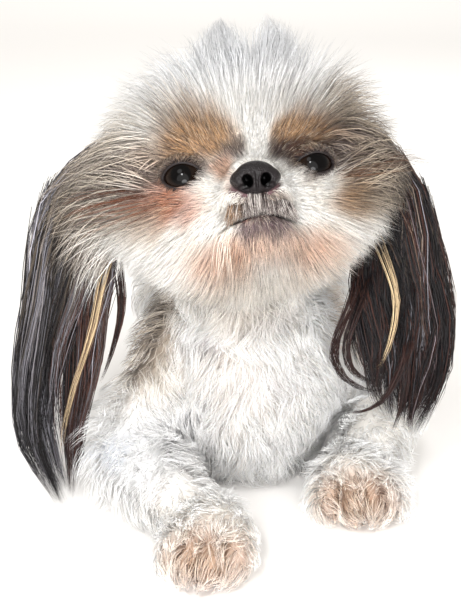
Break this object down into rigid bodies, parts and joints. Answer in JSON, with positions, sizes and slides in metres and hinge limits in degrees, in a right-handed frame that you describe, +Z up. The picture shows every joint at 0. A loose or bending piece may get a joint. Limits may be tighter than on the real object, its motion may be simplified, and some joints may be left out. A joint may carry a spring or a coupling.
{
  "type": "life-size lying shih tzu",
  "caption": "Still, life-size model of a shih tzu that lies on its chest with its head raised, for display or as a prop on a floor.",
  "frame": {"origin": "on the floor, under the flat of the breastbone that the dog lies on", "axes": "+Z up, -Y the way the dog faces, -X its right side"},
  "size_m": [0.2555, 0.4245, 0.2706],
  "materials": {
    "coat_white": "soft long hair, white with tan and grey patches",
    "coat_dark": "soft long hair, near black with brown and grey streaks",
    "eye": "wet, dark brown",
    "eyelid_skin": "dark bare skin, slightly moist",
    "nose_leather": "pebbled, moist, near black",
    "claw": "pale horn, satin"
  },
  "bodies": {
    "root": {"eye_right": "eye", "eyelids_right": "eyelid_skin", "eye_left": "eye", "eyelids_left": "eyelid_skin", "nose": "nose_leather", "head": "coat_white", "muzzle": "coat_white", "lower_jaw": "coat_white", "torso": "coat_white", "neck": "coat_white", "tail": "coat_white", "ear_right": "coat_dark", "ear_left": "coat_dark", "foreleg_right": "coat_white", "forepaw_right": "coat_white", "forepaw_right_claw_1": "claw", "forepaw_right_claw_2": "claw", "forepaw_right_claw_3": "claw", "forepaw_right_claw_4": "claw", "foreleg_left": "coat_white", "forepaw_left": "coat_white", "forepaw_left_claw_1": "claw", "forepaw_left_claw_2": "claw", "forepaw_left_claw_3": "claw", "forepaw_left_claw_4": "claw", "hindleg_right": "coat_white", "hindpaw_right": "coat_white", "hindpaw_right_claw_1": "claw", "hindpaw_right_claw_2": "claw", "hindpaw_right_claw_3": "claw", "hindpaw_right_claw_4": "claw", "hindleg_left": "coat_white", "hindpaw_left": "coat_white", "hindpaw_left_claw_1": "claw", "hindpaw_left_claw_2": "claw", "hindpaw_left_claw_3": "claw", "hindpaw_left_claw_4": "claw"}
  },
  "joints": []
}
